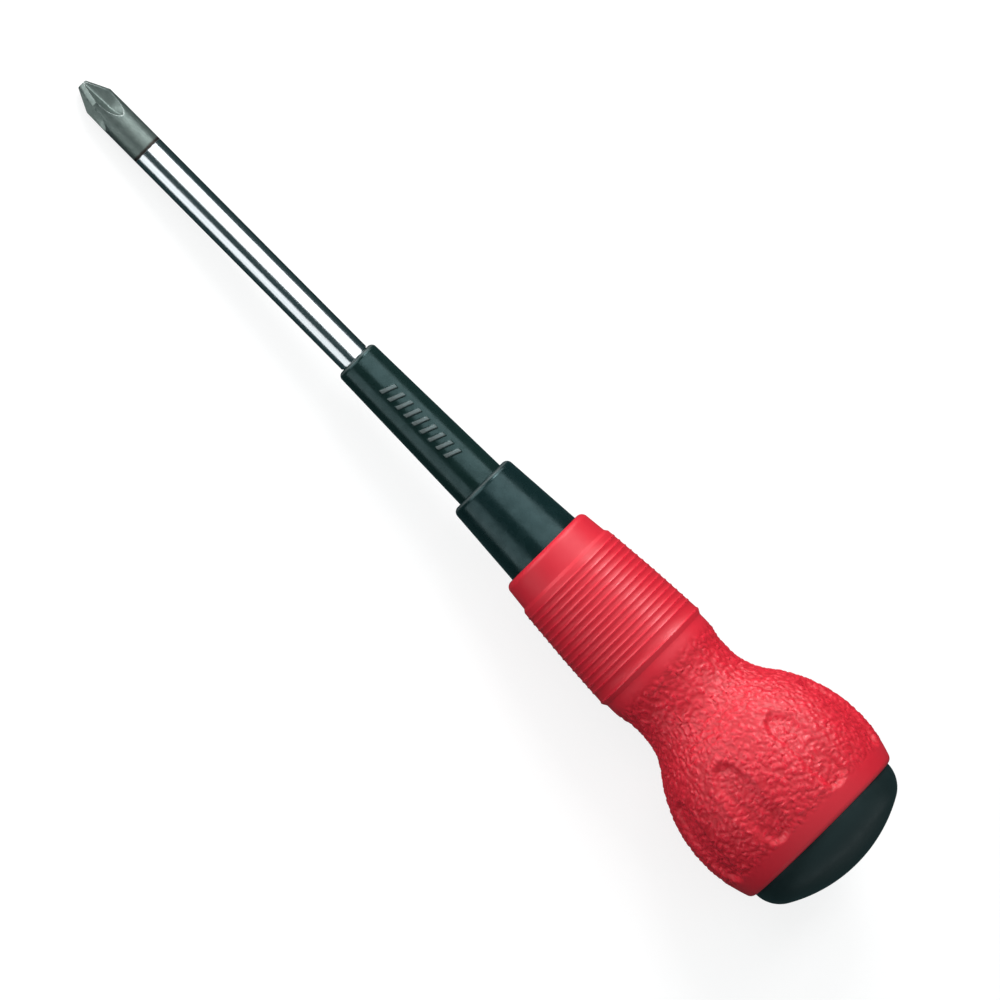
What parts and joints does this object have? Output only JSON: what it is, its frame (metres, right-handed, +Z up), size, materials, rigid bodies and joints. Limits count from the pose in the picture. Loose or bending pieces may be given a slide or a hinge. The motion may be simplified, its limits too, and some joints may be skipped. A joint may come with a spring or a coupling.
{
  "type": "screwdriver",
  "caption": "Ball-grip cross-tip screwdriver: steel blade, free-turning shaft sleeve, hard collar, hard core under a ribbed and textured soft grip, and a domed end cap.",
  "frame": {"origin": "centre of the blunt nose of the blade's cross tip", "axes": "+X along the tool's axis from the tip to the end cap, +Z up, with a scoop of the ball facing up and one facing down; -X is the way the tip points"},
  "size_m": [0.1946, 0.0378, 0.0378],
  "materials": {
    "chrome_steel": "bright plated rod with a dark matt tip",
    "sleeve_plastic": "satin moulded",
    "black_plastic": "satin moulded",
    "core_plastic": "plain moulded",
    "red_elastomer": "satin, leather grain on the neck and ball"
  },
  "bodies": {
    "driver": {"blade": "chrome_steel", "front_collar": "black_plastic", "handle_core": "core_plastic", "grip": "red_elastomer", "end_cap": "black_plastic"},
    "sleeve": {"shaft_sleeve": "sleeve_plastic"}
  },
  "joints": [
    {"name": "sleeve_spin", "type": "hinge", "parent": "driver", "child": "sleeve", "pos_m": [0.089, 0, 0], "axis": [1, 0, 0], "continuous": true}
  ]
}
